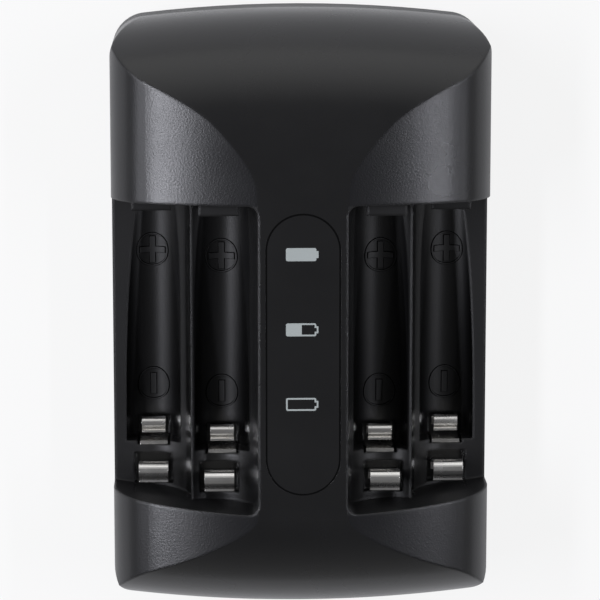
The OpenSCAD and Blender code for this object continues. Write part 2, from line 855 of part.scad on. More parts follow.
// Sprung strip beside the pivot that takes the mains to the board
module mains_terminal(s) {
    y0 = board_top_y - 1.6;
    color([0.8, 0.65, 0.35])
    mirror([s > 0 ? 0 : 1, 0, 0]) {
        bar_y(terminal_x, terminal_x + 0.6, y0 - 1.5, pivot_y + 3, lamp_base_z, lamp_base_z + 5);
        bar_y(terminal_x - 2.4, terminal_x + 0.6, y0 - 1.5, y0 + 0.6, lamp_base_z, lamp_base_z + 0.6);
    }
}

terminal_x = block_l / 2 + turn_gap + bay_wall + 0.55;

module mains_terminal_left() {
    mains_terminal(-1);
}

module mains_terminal_right() {
    mains_terminal(1);
}

// Screw from the back into a post of the front
module screw(k) {
    x = k == 1 || k == 3 ? -screw_x : screw_x;
    y = k < 3 ? screw_low_y : screw_top_y;
    color([0.55, 0.55, 0.57])
    translate([x, y, 0])
        difference() {
            union() {
                translate([0, 0, screw_seat_z - 1.9])
                    cylinder(r1 = head_r - 0.4, r2 = head_r, h = 0.5);
                translate([0, 0, screw_seat_z - 1.4])
                    cylinder(r = head_r, h = 1.4);
                cylinder_between(shank_r, screw_seat_z - 0.5, joint_z + 6.5);
            }
            for (a = [0, 90])
                rotate(a)
                    bar_y(-1.6, 1.6, -0.3, 0.3, screw_seat_z - 2.5, screw_seat_z - 0.9);
        }
}

module cylinder_between(r, z0, z1) {
    translate([0, 0, z0])
        cylinder(r = r, h = z1 - z0);
}

front_housing();
rear_cover();
indicator_window();
light_guide();
led_full();
led_half();
led_empty();
circuit_board();
transformer_core();
transformer_winding();
input_capacitor();
output_capacitor();
bridge_rectifier();
controller_chip();
fuse();
choke();
positive_contact(1);  // positive_contact_1
positive_contact(2);  // positive_contact_2
positive_contact(3);  // positive_contact_3
positive_contact(4);  // positive_contact_4
aa_contact(1);  // aa_contact_1
aa_contact(2);  // aa_contact_2
aa_contact(3);  // aa_contact_3
aa_contact(4);  // aa_contact_4
aaa_contact(1);  // aaa_contact_1
aaa_contact(2);  // aaa_contact_2
aaa_contact(3);  // aaa_contact_3
aaa_contact(4);  // aaa_contact_4
spring_tab(1);  // spring_tab_1
spring_tab(2);  // spring_tab_2
spring_tab(3);  // spring_tab_3
spring_tab(4);  // spring_tab_4
plug_block();
plug_blade_left();
plug_blade_right();
mains_terminal_left();
mains_terminal_right();
screw(1);  // screw_1
screw(2);  // screw_2
screw(3);  // screw_3
screw(4);  // screw_4
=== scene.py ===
# %% [markdown]
# # A plug-in charger for AA and AAA cells
# The solids of the charger come from CAD and lie on their back: X runs across, Y runs up the
# body and Z points out of the front. This lesson gives them their looks. It starts with the
# camera, then makes each finish as a procedural material, then adds the thin things that a
# moulding tool or a printing pad leaves on such a product, and a thin band of painted shade over
# the window's seam, and ends with the studio.

# %% Load the frame
import math
import bmesh
import bpy
from mathutils import Matrix, Vector


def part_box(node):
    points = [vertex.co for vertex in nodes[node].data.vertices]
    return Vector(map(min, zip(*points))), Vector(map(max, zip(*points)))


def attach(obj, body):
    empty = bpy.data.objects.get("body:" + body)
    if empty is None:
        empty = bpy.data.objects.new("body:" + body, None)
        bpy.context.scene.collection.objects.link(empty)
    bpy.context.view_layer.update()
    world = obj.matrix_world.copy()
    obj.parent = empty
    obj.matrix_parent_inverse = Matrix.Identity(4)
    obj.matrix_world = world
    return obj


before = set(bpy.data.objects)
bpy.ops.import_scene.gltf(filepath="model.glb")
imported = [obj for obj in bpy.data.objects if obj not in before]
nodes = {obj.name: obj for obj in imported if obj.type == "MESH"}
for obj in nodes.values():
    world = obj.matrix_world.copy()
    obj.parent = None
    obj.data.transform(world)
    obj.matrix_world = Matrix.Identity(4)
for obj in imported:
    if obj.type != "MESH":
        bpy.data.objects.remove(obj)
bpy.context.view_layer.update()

MM = 0.001
print("nodes:", len(nodes))

# %% [markdown]
# ## The camera
# The photograph looks almost straight down on the front, from far away and a little towards the
# upper end, so the lower walls of the bays show. A long lens far away keeps the sides parallel,
# as in the photograph. Turning a camera by hand is fiddly, so its three axes are worked out
# from the direction in which it stands and from the body's upper end, which is up in the image.

# %% Camera
CAMERA_LIFT = math.radians(10.0)
CAMERA_SIDE = math.radians(1.78)
CAMERA_DISTANCE = 600 * MM
CAMERA_TARGET = Vector((-0.06, 1.96, 18.0)) * MM
FOCAL_PIXELS = 3082.0
IMAGE_WIDTH = 600
SENSOR_WIDTH = 36.0


def make_camera():
    toward = Vector((-math.sin(CAMERA_SIDE) * math.cos(CAMERA_LIFT),
                     math.sin(CAMERA_LIFT),
                     math.cos(CAMERA_SIDE) * math.cos(CAMERA_LIFT)))
    right = Vector((0, 1, 0)).cross(toward).normalized()
    up = toward.cross(right)
    data = bpy.data.cameras.new("front_camera")
    data.sensor_width = SENSOR_WIDTH
    data.lens = FOCAL_PIXELS / IMAGE_WIDTH * SENSOR_WIDTH
    data.clip_end = 10
    camera = bpy.data.objects.new("front_camera", data)
    bpy.context.scene.collection.objects.link(camera)
    turn = Matrix((right, up, toward)).transposed().to_4x4()
    camera.matrix_world = Matrix.Translation(CAMERA_TARGET + CAMERA_DISTANCE * toward) @ turn
    bpy.context.scene.camera = camera
    return camera


camera = make_camera()
print("camera:", camera.data.lens, "mm lens")

# %% [markdown]
# ## Helpers for node trees
# A material is a small machine of nodes. These helpers add a node, set its plain sockets and
# wire sockets together, so that each finish below reads as a list of what feeds what.


# %% Node helpers
def add_node(tree, kind, **values):
    node = tree.nodes.new(kind)
    for key, value in values.items():
        if key in node.inputs:
            node.inputs[key].default_value = value
        else:
            setattr(node, key, value)
    return node


def math_node(tree, operation, first, second=None):
    node = tree.nodes.new("ShaderNodeMath")
    node.operation = operation
    for slot, value in zip(node.inputs, (first, second)):
        if isinstance(value, bpy.types.NodeSocket):
            tree.links.new(value, slot)
        elif value is not None:
            slot.default_value = value
    return node.outputs[0]


def mix_colour(tree, factor, first, second):
    node = tree.nodes.new("ShaderNodeMix")
    node.data_type = "RGBA"
    for name, value in (("Factor_Float", factor), ("A_Color", first), ("B_Color", second)):
        slot = next(s for s in node.inputs if s.identifier == name)
        if isinstance(value, bpy.types.NodeSocket):
            tree.links.new(value, slot)
        else:
            slot.default_value = value
    return next(s for s in node.outputs if s.identifier == "Result_Color")


def map_range(tree, value, low, high, new_low, new_high):
    node = add_node(tree, "ShaderNodeMapRange")
    tree.links.new(value, node.inputs["Value"])
    for name, v in (("From Min", low), ("From Max", high),
                    ("To Min", new_low), ("To Max", new_high)):
        if isinstance(v, bpy.types.NodeSocket):
            tree.links.new(v, node.inputs[name])
        else:
            node.inputs[name].default_value = v
    return node.outputs["Result"]


def make_group(name, inputs, outputs):
    group = bpy.data.node_groups.new(name, "ShaderNodeTree")
    for label, kind, value in inputs:
        socket = group.interface.new_socket(label, in_out="INPUT", socket_type=kind)
        if value is not None:
            socket.default_value = value
    for label, kind in outputs:
        group.interface.new_socket(label, in_out="OUTPUT", socket_type=kind)
    start = group.nodes.new("NodeGroupInput")
    end = group.nodes.new("NodeGroupOutput")
    return group, start, end


def use_group(tree, group, **values):
    node = tree.nodes.new("ShaderNodeGroup")
    node.node_tree = group
    for label, value in values.items():
        socket = node.inputs[label.replace("_", " ")]
        if isinstance(value, bpy.types.NodeSocket):
            tree.links.new(value, socket)
        else:
            socket.default_value = value
    return node


def new_material(name):
    material = bpy.data.materials.new(name)
    material.use_nodes = True
    tree = material.node_tree
    shader = tree.nodes["Principled BSDF"]
    place = tree.nodes.new("ShaderNodeTexCoord")
    return material, tree, shader, place


print("helpers ready")

# %% [markdown]
# ## Shared effects as node groups
# Three effects turn up on many pieces. Moulded grain is the spark-eroded texture of a tool, a
# fine pebble that breaks up a highlight. Handling film is the thin, patchy gloss that hands and
# dust leave. Rolled lines are the faint streaks of strip metal. Each one is a node group, built
# once and placed in a material with its own values.


# %% Group: moulded grain
def moulded_grain():
    group, start, end = make_group(
        "Moulded grain",
        [("Vector", "NodeSocketVector", None), ("Grain Scale", "NodeSocketFloat", 2500.0),
         ("Depth", "NodeSocketFloat", 1.0)],
        [("Height", "NodeSocketFloat"), ("Speckle", "NodeSocketFloat")])
    pebble = add_node(group, "ShaderNodeTexVoronoi", feature="SMOOTH_F1")
    pebble.inputs["Smoothness"].default_value = 0.7
    dust = add_node(group, "ShaderNodeTexNoise", Detail=3.0)
    for texture in (pebble, dust):
        group.links.new(start.outputs["Vector"], texture.inputs["Vector"])
        group.links.new(start.outputs["Grain Scale"], texture.inputs["Scale"])
    both = math_node(group, "ADD", pebble.outputs["Distance"], dust.outputs["Fac"])
    height = math_node(group, "MULTIPLY", both, start.outputs["Depth"])
    group.links.new(height, end.inputs["Height"])
    group.links.new(dust.outputs["Fac"], end.inputs["Speckle"])
    return group


GRAIN = moulded_grain()
print("group:", GRAIN.name)


# %% Group: handling film
def handling_film():
    group, start, end = make_group(
        "Handling film",
        [("Vector", "NodeSocketVector", None), ("Patch Scale", "NodeSocketFloat", 60.0),
         ("Least", "NodeSocketFloat", 0.3), ("Most", "NodeSocketFloat", 0.4)],
        [("Roughness", "NodeSocketFloat"), ("Patches", "NodeSocketFloat")])
    patches = add_node(group, "ShaderNodeTexNoise", Detail=4.0, Roughness=0.55)
    group.links.new(start.outputs["Vector"], patches.inputs["Vector"])
    group.links.new(start.outputs["Patch Scale"], patches.inputs["Scale"])
    rough = map_range(group, patches.outputs["Fac"], 0.3, 0.7,
                      start.outputs["Least"], start.outputs["Most"])
    group.links.new(rough, end.inputs["Roughness"])
    group.links.new(patches.outputs["Fac"], end.inputs["Patches"])
    return group


FILM = handling_film()
print("group:", FILM.name)


# %% Group: rolled lines
def rolled_lines():
    group, start, end = make_group(
        "Rolled lines",
        [("Vector", "NodeSocketVector", None), ("Line Scale", "NodeSocketFloat", 900.0),
         ("Stretch", "NodeSocketVector", (1.0, 0.04, 0.04))],
        [("Height", "NodeSocketFloat"), ("Lines", "NodeSocketFloat")])
    drawn = group.nodes.new("ShaderNodeVectorMath")
    drawn.operation = "MULTIPLY"
    group.links.new(start.outputs["Vector"], drawn.inputs[0])
    group.links.new(start.outputs["Stretch"], drawn.inputs[1])
    lines = add_node(group, "ShaderNodeTexNoise", Detail=2.0)
    group.links.new(drawn.outputs[0], lines.inputs["Vector"])
    group.links.new(start.outputs["Line Scale"], lines.inputs["Scale"])
    group.links.new(lines.outputs["Fac"], end.inputs["Height"])
    group.links.new(lines.outputs["Fac"], end.inputs["Lines"])
    return group


LINES = rolled_lines()
print("group:", LINES.name)

# %% [markdown]
# ## Black moulded plastic
# The case is one black plastic with two finishes. The cap and the ridge come from polished steel
# and have a satin gloss. The four lobes and the bays come from textured parts of the tool: their
# fine pebble spreads a highlight and breaks it up. The two finishes meet along the creases, so a
# point is told apart by where it lies and how its surface leans. A lobe leans to the side and
# never along the body, while the cap leans along it. The Bevel node rounds every edge for the
# light by most of a millimetre, as a moulding's edges are, and far less at the window's seam.
# Where a lobe turns into its tight shoulder, the normal is eased over a few millimetres, so that
# the highlight fades out there and doesn't stop at a line. The bays get a darker base colour than
# the lobes, which is painted shade for their depth. The springs' holes and the steep walls of the
# channels are the darkest places, as little light gets back out of them: their near-black base
# colour is painted shade.

# %% Sizes of the case, in millimetres
window_low, window_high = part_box("indicator_window")
_, housing_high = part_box("front_housing")
FRONT_Z = housing_high.z / MM
RIDGE_HALF = 8.55
BAY_TOP = 22.9
BAY_BOTTOM = -36.9
LOWER_WALL_R = 243.65
OUTER_FLOOR = 15.5
INNER_FLOOR = 23.5
BAY_SPLIT_X = 22.35
SPRING_RUN = 10.5
DIP_BOTTOM = 6.0
EDGE_ROUNDING = 0.8
SEAM_ROUNDING = 0.06
SEAM_NEAR = 7.6
SEAM_FAR = 8.0
CROWN_R = 88
SHOULDER_R = 11
SHOULDER_X = 29.143
SHOULDER_EASE = 2.8
CURVE_STEP = 1 / SHOULDER_R - 1 / CROWN_R
WALL_MARGIN = 0.03
SIDE_MARGIN = 0.05
FLOOR_MARGIN = 0.2
print("ridge at", round(FRONT_Z, 2), "mm")
print("window from", round(window_low.y / MM, 1), "to", round(window_high.y / MM, 1), "mm")


# %% Masks by place and lean
LEVEL_LEAN = 0.02
ASIDE_LEAN = 0.06
STEEP_FROM = 0.6
STEEP_TO = 0.95


def split_vector(tree, socket):
    parts = tree.nodes.new("ShaderNodeSeparateXYZ")
    tree.links.new(socket, parts.inputs[0])
    return [parts.outputs[axis] for axis in "XYZ"]


def finish_masks(tree, place):
    """Two masks: one for the textured lobes beside the creases, one for everything in the bays."""
    x, y, _ = split_vector(tree, place.outputs["Object"])
    lean_x, lean_y, _ = split_vector(tree, place.outputs["Normal"])
    across = math_node(tree, "ABSOLUTE", x)
    beside = math_node(tree, "GREATER_THAN", across, (RIDGE_HALF - WALL_MARGIN) * MM)
    within = math_node(tree, "LESS_THAN", across, housing_high.x - SIDE_MARGIN * MM)
    bow = math_node(tree, "DIVIDE", math_node(tree, "MULTIPLY", x, x), 2 * LOWER_WALL_R * MM)
    below_top = math_node(tree, "LESS_THAN", y, (BAY_TOP + WALL_MARGIN) * MM)
    above_bottom = math_node(tree, "GREATER_THAN", math_node(tree, "SUBTRACT", y, bow),
                             (BAY_BOTTOM - WALL_MARGIN) * MM)
    bay = math_node(tree, "MULTIPLY", math_node(tree, "MULTIPLY", beside, within),
                    math_node(tree, "MULTIPLY", below_top, above_bottom))
    level = math_node(tree, "LESS_THAN", math_node(tree, "ABSOLUTE", lean_y), LEVEL_LEAN)
    aside = math_node(tree, "GREATER_THAN", math_node(tree, "ABSOLUTE", lean_x), ASIDE_LEAN)
    lobe = math_node(tree, "MULTIPLY", beside, math_node(tree, "MULTIPLY", level, aside))
    return math_node(tree, "MAXIMUM", lobe, bay), bay


def pocket_shade_mask(tree, place, bay):
    """Mask of painted shade for what lies below the floors: the springs' holes and the channels' steep
    walls.
    """
    x, y, z = split_vector(tree, place.outputs["Object"])
    lean_x, _, _ = split_vector(tree, place.outputs["Normal"])
    outer = math_node(tree, "GREATER_THAN", math_node(tree, "ABSOLUTE", x), BAY_SPLIT_X * MM)
    floor = map_range(tree, outer, 0.0, 1.0, INNER_FLOOR * MM, OUTER_FLOOR * MM)
    depth = math_node(tree, "SUBTRACT", floor, z)
    by_springs = math_node(tree, "LESS_THAN", y, (BAY_BOTTOM + SPRING_RUN) * MM)
    steep = map_range(tree, math_node(tree, "ABSOLUTE", lean_x), STEEP_FROM, STEEP_TO, 0.0, 1.0)
    shallow = math_node(tree, "MULTIPLY", math_node(tree, "MAXIMUM", by_springs, steep),
                        math_node(tree, "GREATER_THAN", depth, FLOOR_MARGIN * MM))
    deep = math_node(tree, "GREATER_THAN", depth, (DIP_BOTTOM + FLOOR_MARGIN) * MM)
    return math_node(tree, "MULTIPLY", bay, math_node(tree, "MAXIMUM", shallow, deep))


def seam_radius(tree, place):
    """Edge rounding: small close to the window, larger elsewhere."""
    x, _, _ = split_vector(tree, place.outputs["Object"])
    return map_range(tree, math_node(tree, "ABSOLUTE", x), SEAM_NEAR * MM, SEAM_FAR * MM,
                     SEAM_ROUNDING * MM, EDGE_ROUNDING * MM)


def eased_normal(tree, place, normal, where):
    """Normal that starts to lean before a lobe's shoulder, so that its highlight fades out."""
    x, _, _ = split_vector(tree, place.outputs["Object"])
    past = math_node(tree, "SUBTRACT", math_node(tree, "ABSOLUTE", x), SHOULDER_X * MM)
    share = map_range(tree, past, -SHOULDER_EASE * MM, SHOULDER_EASE * MM, 0.0, 1.0)
    eased = math_node(tree, "MULTIPLY", math_node(tree, "MULTIPLY", share, share), SHOULDER_EASE)
    plain = map_range(tree, past, 0.0, SHOULDER_EASE * MM, 0.0, SHOULDER_EASE)
    extra = math_node(tree, "MULTIPLY", math_node(tree, "SUBTRACT", eased, plain), CURVE_STEP)
    aside = math_node(tree, "MULTIPLY", math_node(tree, "SIGN", x),
                      math_node(tree, "MULTIPLY", extra, where))
    push = tree.nodes.new("ShaderNodeCombineXYZ")
    tree.links.new(aside, push.inputs["X"])
    total = add_node(tree, "ShaderNodeVectorMath", operation="ADD")
    tree.links.new(normal, total.inputs[0])
    tree.links.new(push.outputs[0], total.inputs[1])
    unit = add_node(tree, "ShaderNodeVectorMath", operation="NORMALIZE")
    tree.links.new(total.outputs[0], unit.inputs[0])
    return unit.outputs[0]


print("masks ready")

# %% Black plastics
SATIN = ((0.0070, 0.0070, 0.0073, 1), (0.0095, 0.0095, 0.0099, 1))
# Painted shade: near-black tones for the springs' holes, the channels' steep walls, the marks' sides
# and the band over the window's seam.
SHADOW_LINE = ((0.0010, 0.0010, 0.0010, 1), (0.0020, 0.0020, 0.0020, 1))
TEXTURED = (0.0065, 0.0066, 0.0078, 1)
# The bays' tone is painted shade: a darker base colour than the lobes of the same textured plastic,
# for the depth of the bays.
BAY_SHADE_TONE = (0.0028, 0.0028, 0.0032, 1)
LOBE_ROUGHER = 0.02
BAY_ROUGHER = 0.14
POCKET_ROUGHER = -0.16
GRAIN_SCALE = 3000.0
GRAIN_STRENGTH = 0.26
GRAIN_HEIGHT = 0.045
FILM_SCALE = 55.0
PLASTIC_IOR = 1.54
# Low IOR of the painted shade lines, so that they mirror little.
SHADE_LINE_IOR = 1.15
EDGE_SAMPLES = 6


def finish_plastic(name, gloss, grain_depth, tones=SATIN, index=PLASTIC_IOR, case=False):
    """Black plastic: gloss gives the least and most roughness. The case has its masks as well."""
    material, tree, shader, place = new_material(name)
    spot = place.outputs["Object"]
    film = use_group(tree, FILM, Vector=spot, Patch_Scale=FILM_SCALE, Least=gloss[0], Most=gloss[1])
    grain = use_group(tree, GRAIN, Vector=spot, Grain_Scale=GRAIN_SCALE, Depth=1.0)
    bump = add_node(tree, "ShaderNodeBump", Strength=GRAIN_STRENGTH, Distance=GRAIN_HEIGHT * MM)
    edge = add_node(tree, "ShaderNodeBevel", Radius=SEAM_ROUNDING * MM)
    edge.samples = EDGE_SAMPLES
    normal, depth, rough = edge.outputs["Normal"], grain_depth, film.outputs["Roughness"]
    base = mix_colour(tree, film.outputs["Patches"], tones[0], tones[1])
    if case:
        tree.links.new(seam_radius(tree, place), edge.inputs["Radius"])
        texture, bay = finish_masks(tree, place)
        pocket_shade = pocket_shade_mask(tree, place, bay)
        normal = eased_normal(tree, place, normal, math_node(tree, "SUBTRACT", texture, bay))
        depth = map_range(tree, texture, 0.0, 1.0, grain_depth, 1.0)
        # Painted shade: the bays get a darker base colour, and the holes and steep walls a near-black
        # one.
        for mask, rougher, tone in ((texture, LOBE_ROUGHER, TEXTURED), (bay, BAY_ROUGHER, BAY_SHADE_TONE),
                                    (pocket_shade, POCKET_ROUGHER, SHADOW_LINE[0])):
            rough = math_node(tree, "ADD", rough, math_node(tree, "MULTIPLY", mask, rougher))
            base = mix_colour(tree, mask, base, tone)
    tree.links.new(normal, bump.inputs["Normal"])
    height = math_node(tree, "MULTIPLY", grain.outputs["Height"], depth)
    tree.links.new(height, bump.inputs["Height"])
    tree.links.new(bump.outputs["Normal"], shader.inputs["Normal"])
    tree.links.new(rough, shader.inputs["Roughness"])
    tree.links.new(base, shader.inputs["Base Color"])
    shader.inputs["IOR"].default_value = index
    return material


CASE_PLASTIC = finish_plastic("case_plastic", gloss=(0.25, 0.29), grain_depth=0.04, case=True)
BACK_PLASTIC = finish_plastic("back_plastic", gloss=(0.40, 0.48), grain_depth=0.9)
PLUG_PLASTIC = finish_plastic("plug_plastic", gloss=(0.34, 0.42), grain_depth=0.4)
WINDOW_PLASTIC = finish_plastic("window_plastic", gloss=(0.26, 0.30), grain_depth=0.01)
MARK_PLASTIC = finish_plastic("mark_plastic", gloss=(0.46, 0.52), grain_depth=0.6)
# Painted shade: a near-black plastic that mirrors little, for the marks' sides and the band over the
# window's seam.
SHADE_LINE_PLASTIC = finish_plastic("painted_shade_line", gloss=(0.70, 0.80), grain_depth=0.2,
                              tones=SHADOW_LINE, index=SHADE_LINE_IOR)
print("black plastics made")

# %% [markdown]
# ## Metals
# The springs and plates are nickel-plated strip, bright enough to be the lightest thing on the
# front. The blades are plated brass, the terminals plain brass and the screws zinc-plated steel.
# One function makes all of them, since they differ only in colour, gloss and rolling lines.

# %% Metals
METAL_PATCHES = 240.0
METAL_EDGE = 0.08
LINE_STRENGTH = 0.05
LINE_HEIGHT = 0.02


def finish_metal(name, colour, shade, gloss, line_scale, stretch):
    material, tree, shader, place = new_material(name)
    spot = place.outputs["Object"]
    lines = use_group(tree, LINES, Vector=spot, Line_Scale=line_scale, Stretch=stretch)
    film = use_group(tree, FILM, Vector=spot, Patch_Scale=METAL_PATCHES,
                     Least=gloss[0], Most=gloss[1])
    tint = math_node(tree, "MULTIPLY", film.outputs["Patches"], lines.outputs["Lines"])
    tree.links.new(mix_colour(tree, tint, colour, shade), shader.inputs["Base Color"])
    tree.links.new(film.outputs["Roughness"], shader.inputs["Roughness"])
    bump = add_node(tree, "ShaderNodeBump", Strength=LINE_STRENGTH, Distance=LINE_HEIGHT * MM)
    edge = add_node(tree, "ShaderNodeBevel", Radius=METAL_EDGE * MM)
    tree.links.new(edge.outputs["Normal"], bump.inputs["Normal"])
    tree.links.new(lines.outputs["Height"], bump.inputs["Height"])
    tree.links.new(bump.outputs["Normal"], shader.inputs["Normal"])
    shader.inputs["Metallic"].default_value = 1.0
    return material


ACROSS_X = (1.0, 0.05, 0.05)
ACROSS_Y = (0.05, 1.0, 0.05)
NICKEL = finish_metal("nickel_strip", (0.93, 0.92, 0.90, 1), (0.74, 0.72, 0.69, 1),
                      (0.20, 0.30), 5200.0, ACROSS_X)
PLATED_BRASS = finish_metal("plated_blade", (0.80, 0.76, 0.66, 1), (0.62, 0.56, 0.44, 1),
                            (0.18, 0.28), 4200.0, ACROSS_Y)
BRASS = finish_metal("brass_strip", (0.80, 0.60, 0.30, 1), (0.62, 0.44, 0.20, 1),
                     (0.22, 0.32), 4200.0, ACROSS_Y)
STEEL = finish_metal("screw_zinc", (0.56, 0.56, 0.58, 1), (0.40, 0.40, 0.42, 1),
                     (0.26, 0.38), 3000.0, ACROSS_X)
print("metals made")

# %% [markdown]
# ## The pieces inside
# Nothing of these shows from outside, but the charger comes apart on a bench. The board has a
# green mask that shines a little, the ferrite is dull and sooty, the coil shows its wires, and
# the capacitors wear a smooth shrink sleeve. They differ in colour, speckle and gloss, so one
# function serves all.

# %% Materials of the inner pieces
INNER_PATCHES = 180.0
SPECKLE_HEIGHT = 0.05
MILKY = 0.35
CLEAR = 0.9


def finish_inner(name, colour, shade, gloss, grain_scale, strength, metal=0.0):
    material, tree, shader, place = new_material(name)
    spot = place.outputs["Object"]
    grain = use_group(tree, GRAIN, Vector=spot, Grain_Scale=grain_scale, Depth=1.0)
    film = use_group(tree, FILM, Vector=spot, Patch_Scale=INNER_PATCHES,
                     Least=gloss[0], Most=gloss[1])
    base = mix_colour(tree, grain.outputs["Speckle"], colour, shade)
    tree.links.new(base, shader.inputs["Base Color"])
    tree.links.new(film.outputs["Roughness"], shader.inputs["Roughness"])
    bump = add_node(tree, "ShaderNodeBump", Strength=strength, Distance=SPECKLE_HEIGHT * MM)
    tree.links.new(grain.outputs["Height"], bump.inputs["Height"])
    tree.links.new(bump.outputs["Normal"], shader.inputs["Normal"])
    shader.inputs["Metallic"].default_value = metal
    return material


def see_through(material, share):
    """Let a share of the light pass through a clear or milky piece."""
    shader = material.node_tree.nodes["Principled BSDF"]
    shader.inputs["Transmission Weight"].default_value = share
    return material


def finish_lamp(name, colour, shade):
    """Tinted, slightly milky lens of an indicator lamp."""
    return see_through(finish_inner(name, colour, shade, (0.12, 0.2), 900.0, 0.02), MILKY)


INNER = {
    "circuit_board": finish_inner("board_mask", (0.02, 0.11, 0.05, 1), (0.035, 0.16, 0.075, 1),
                                  (0.25, 0.4), 700.0, 0.05),
    "transformer_core": finish_inner("ferrite", (0.05, 0.05, 0.053, 1), (0.09, 0.09, 0.095, 1),
                                     (0.6, 0.8), 2200.0, 0.3),
    "transformer_winding": finish_inner("coil_tape", (0.55, 0.36, 0.05, 1), (0.68, 0.47, 0.1, 1),
                                        (0.3, 0.45), 1500.0, 0.12),
    "choke": finish_inner("coil_wire", (0.55, 0.22, 0.06, 1), (0.7, 0.33, 0.12, 1),
                          (0.2, 0.35), 1800.0, 0.25, metal=0.6),
    "input_capacitor": finish_inner("capacitor_sleeve", (0.015, 0.02, 0.06, 1),
                                    (0.03, 0.036, 0.09, 1), (0.2, 0.3), 900.0, 0.05),
    "bridge_rectifier": finish_inner("chip_epoxy", (0.012, 0.012, 0.013, 1),
                                     (0.024, 0.024, 0.026, 1), (0.5, 0.65), 3000.0, 0.25),
    "fuse": finish_inner("fuse_ceramic", (0.55, 0.46, 0.32, 1), (0.66, 0.58, 0.42, 1),
                         (0.35, 0.5), 1600.0, 0.1),
    "light_guide": see_through(finish_inner("clear_acrylic", (0.86, 0.89, 0.9, 1),
                                            (0.9, 0.92, 0.93, 1), (0.05, 0.1), 500.0, 0.01), CLEAR),
    "led_full": finish_lamp("lamp_green", (0.1, 0.5, 0.13, 1), (0.16, 0.6, 0.2, 1)),
    "led_half": finish_lamp("lamp_amber", (0.6, 0.38, 0.06, 1), (0.7, 0.46, 0.1, 1)),
    "led_empty": finish_lamp("lamp_red", (0.55, 0.05, 0.04, 1), (0.65, 0.1, 0.07, 1)),
}
INNER["output_capacitor"] = INNER["input_capacitor"]
INNER["controller_chip"] = INNER["bridge_rectifier"]
print("inner finishes:", len(INNER))

# %% [markdown]
# ## A finish for every solid
# A solid's name tells what it is. The inner pieces are looked up by their full names and the outer
# ones by the first words, so that four screws need one entry. What is left over, the contacts and
# their tabs, is nickel strip.

# %% Give every solid its finish
OUTER = {"front_housing": CASE_PLASTIC, "rear_cover": BACK_PLASTIC, "plug_block": PLUG_PLASTIC,
         "indicator_window": WINDOW_PLASTIC, "plug_blade": PLATED_BRASS, "mains_terminal": BRASS,
         "screw": STEEL}


def finish_of(name):
    """Finish by full name inside and by first words outside. The rest is nickel strip."""
    if name in INNER:
        return INNER[name]
    return next((finish for start, finish in OUTER.items() if name.startswith(start)), NICKEL)


for name, solid in nodes.items():
    solid.data.materials.clear()
    solid.data.materials.append(finish_of(name))
print("finished solids:", len(nodes))

# %% [markdown]
# ## Printed charge symbols
# Three small grey cells are printed on the window: a full one, a half-full one and an empty one.
# A texture could paint them, but a thin film of real geometry stays sharp at any zoom. Each film
# is filled between its outlines, cut into narrow strips, given a foot and laid on the window. The
# same way makes a thin near-black band over the gap around the window, which is painted shade
# standing in for the shadow in that gap.

# %% Ink, in millimetres
INK_RISE = 0.004
INK_SINK = 0.02
INK_STRIP = 0.6
SYMBOL_W = 6.15
SYMBOL_H = 2.5
SYMBOL_CORNER = 0.35
SYMBOL_LINE = 0.32
NUB_W = 0.4
NUB_H = 1.35
LEAST_CORNER = 0.08
# The band over the window's seam is painted shade: these give its outer and inner edge and its foot.
SEAM_SHADE_OUT = 0.18
SEAM_SHADE_IN = -0.14
SEAM_SHADE_SINK = 1.4
SYMBOL_X = -0.2
SYMBOL_Y = {"full": 13.8, "half": -0.6, "empty": -15.0}
INK_TONES = ((0.34, 0.375, 0.365, 1), (0.40, 0.43, 0.42, 1))


def finish_ink():
    material, tree, shader, place = new_material("symbol_ink")
    spot = place.outputs["Object"]
    grain = use_group(tree, GRAIN, Vector=spot, Grain_Scale=5000.0, Depth=1.0)
    film = use_group(tree, FILM, Vector=spot, Patch_Scale=300.0, Least=0.4, Most=0.5)
    base = mix_colour(tree, grain.outputs["Speckle"], *INK_TONES)
    tree.links.new(base, shader.inputs["Base Color"])
    tree.links.new(film.outputs["Roughness"], shader.inputs["Roughness"])
    return material


INK = finish_ink()
print("ink made")


# %% Films laid on a face
LEAST_SPREAD = 0.3


def cell_outline(x0, y, inset, steps=5):
    """Outline of a lying cell with its nub at the right end, set in from its edge."""
    x1, x2 = SYMBOL_X + SYMBOL_W / 2 - NUB_W - inset, SYMBOL_X + SYMBOL_W / 2 - inset
    half, nub = SYMBOL_H / 2 - inset, NUB_H / 2 - inset
    r = max(LEAST_CORNER, SYMBOL_CORNER - inset)
    points = []
    for cx, cy, start in ((x1 - r, half - r, 0), (x0 + r, half - r, 90),
                          (x0 + r, r - half, 180), (x1 - r, r - half, 270)):
        for k in range(steps + 1):
            a = math.radians(start + 90 * k / steps)
            points.append((cx + r * math.cos(a), y + cy + r * math.sin(a)))
    return points + [(x1, y - nub), (x2, y - nub), (x2, y + nub), (x1, y + nub)]


def filled(outlines, strip):
    """Flat sheet between closed outlines, cut into strips across X so that it can bend."""
    sheet = bmesh.new()
    for outline in outlines:
        ring = [sheet.verts.new((x, y, 0)) for x, y in outline]
        for first, second in zip(ring, ring[1:] + ring[:1]):
            sheet.edges.new((first, second))
    bmesh.ops.triangle_fill(sheet, use_beauty=True, use_dissolve=False, edges=sheet.edges[:])
    low, high = (pick(x for outline in outlines for x, _ in outline) for pick in (min, max))
    for k in range(1, math.ceil((high - low) / strip)):
        bmesh.ops.bisect_plane(sheet, geom=sheet.verts[:] + sheet.edges[:] + sheet.faces[:],
                               plane_co=(low + k * strip, 0, 0), plane_no=(1, 0, 0))
    for face in sheet.faces:
        if face.normal.z < 0:
            face.normal_flip()
    return sheet


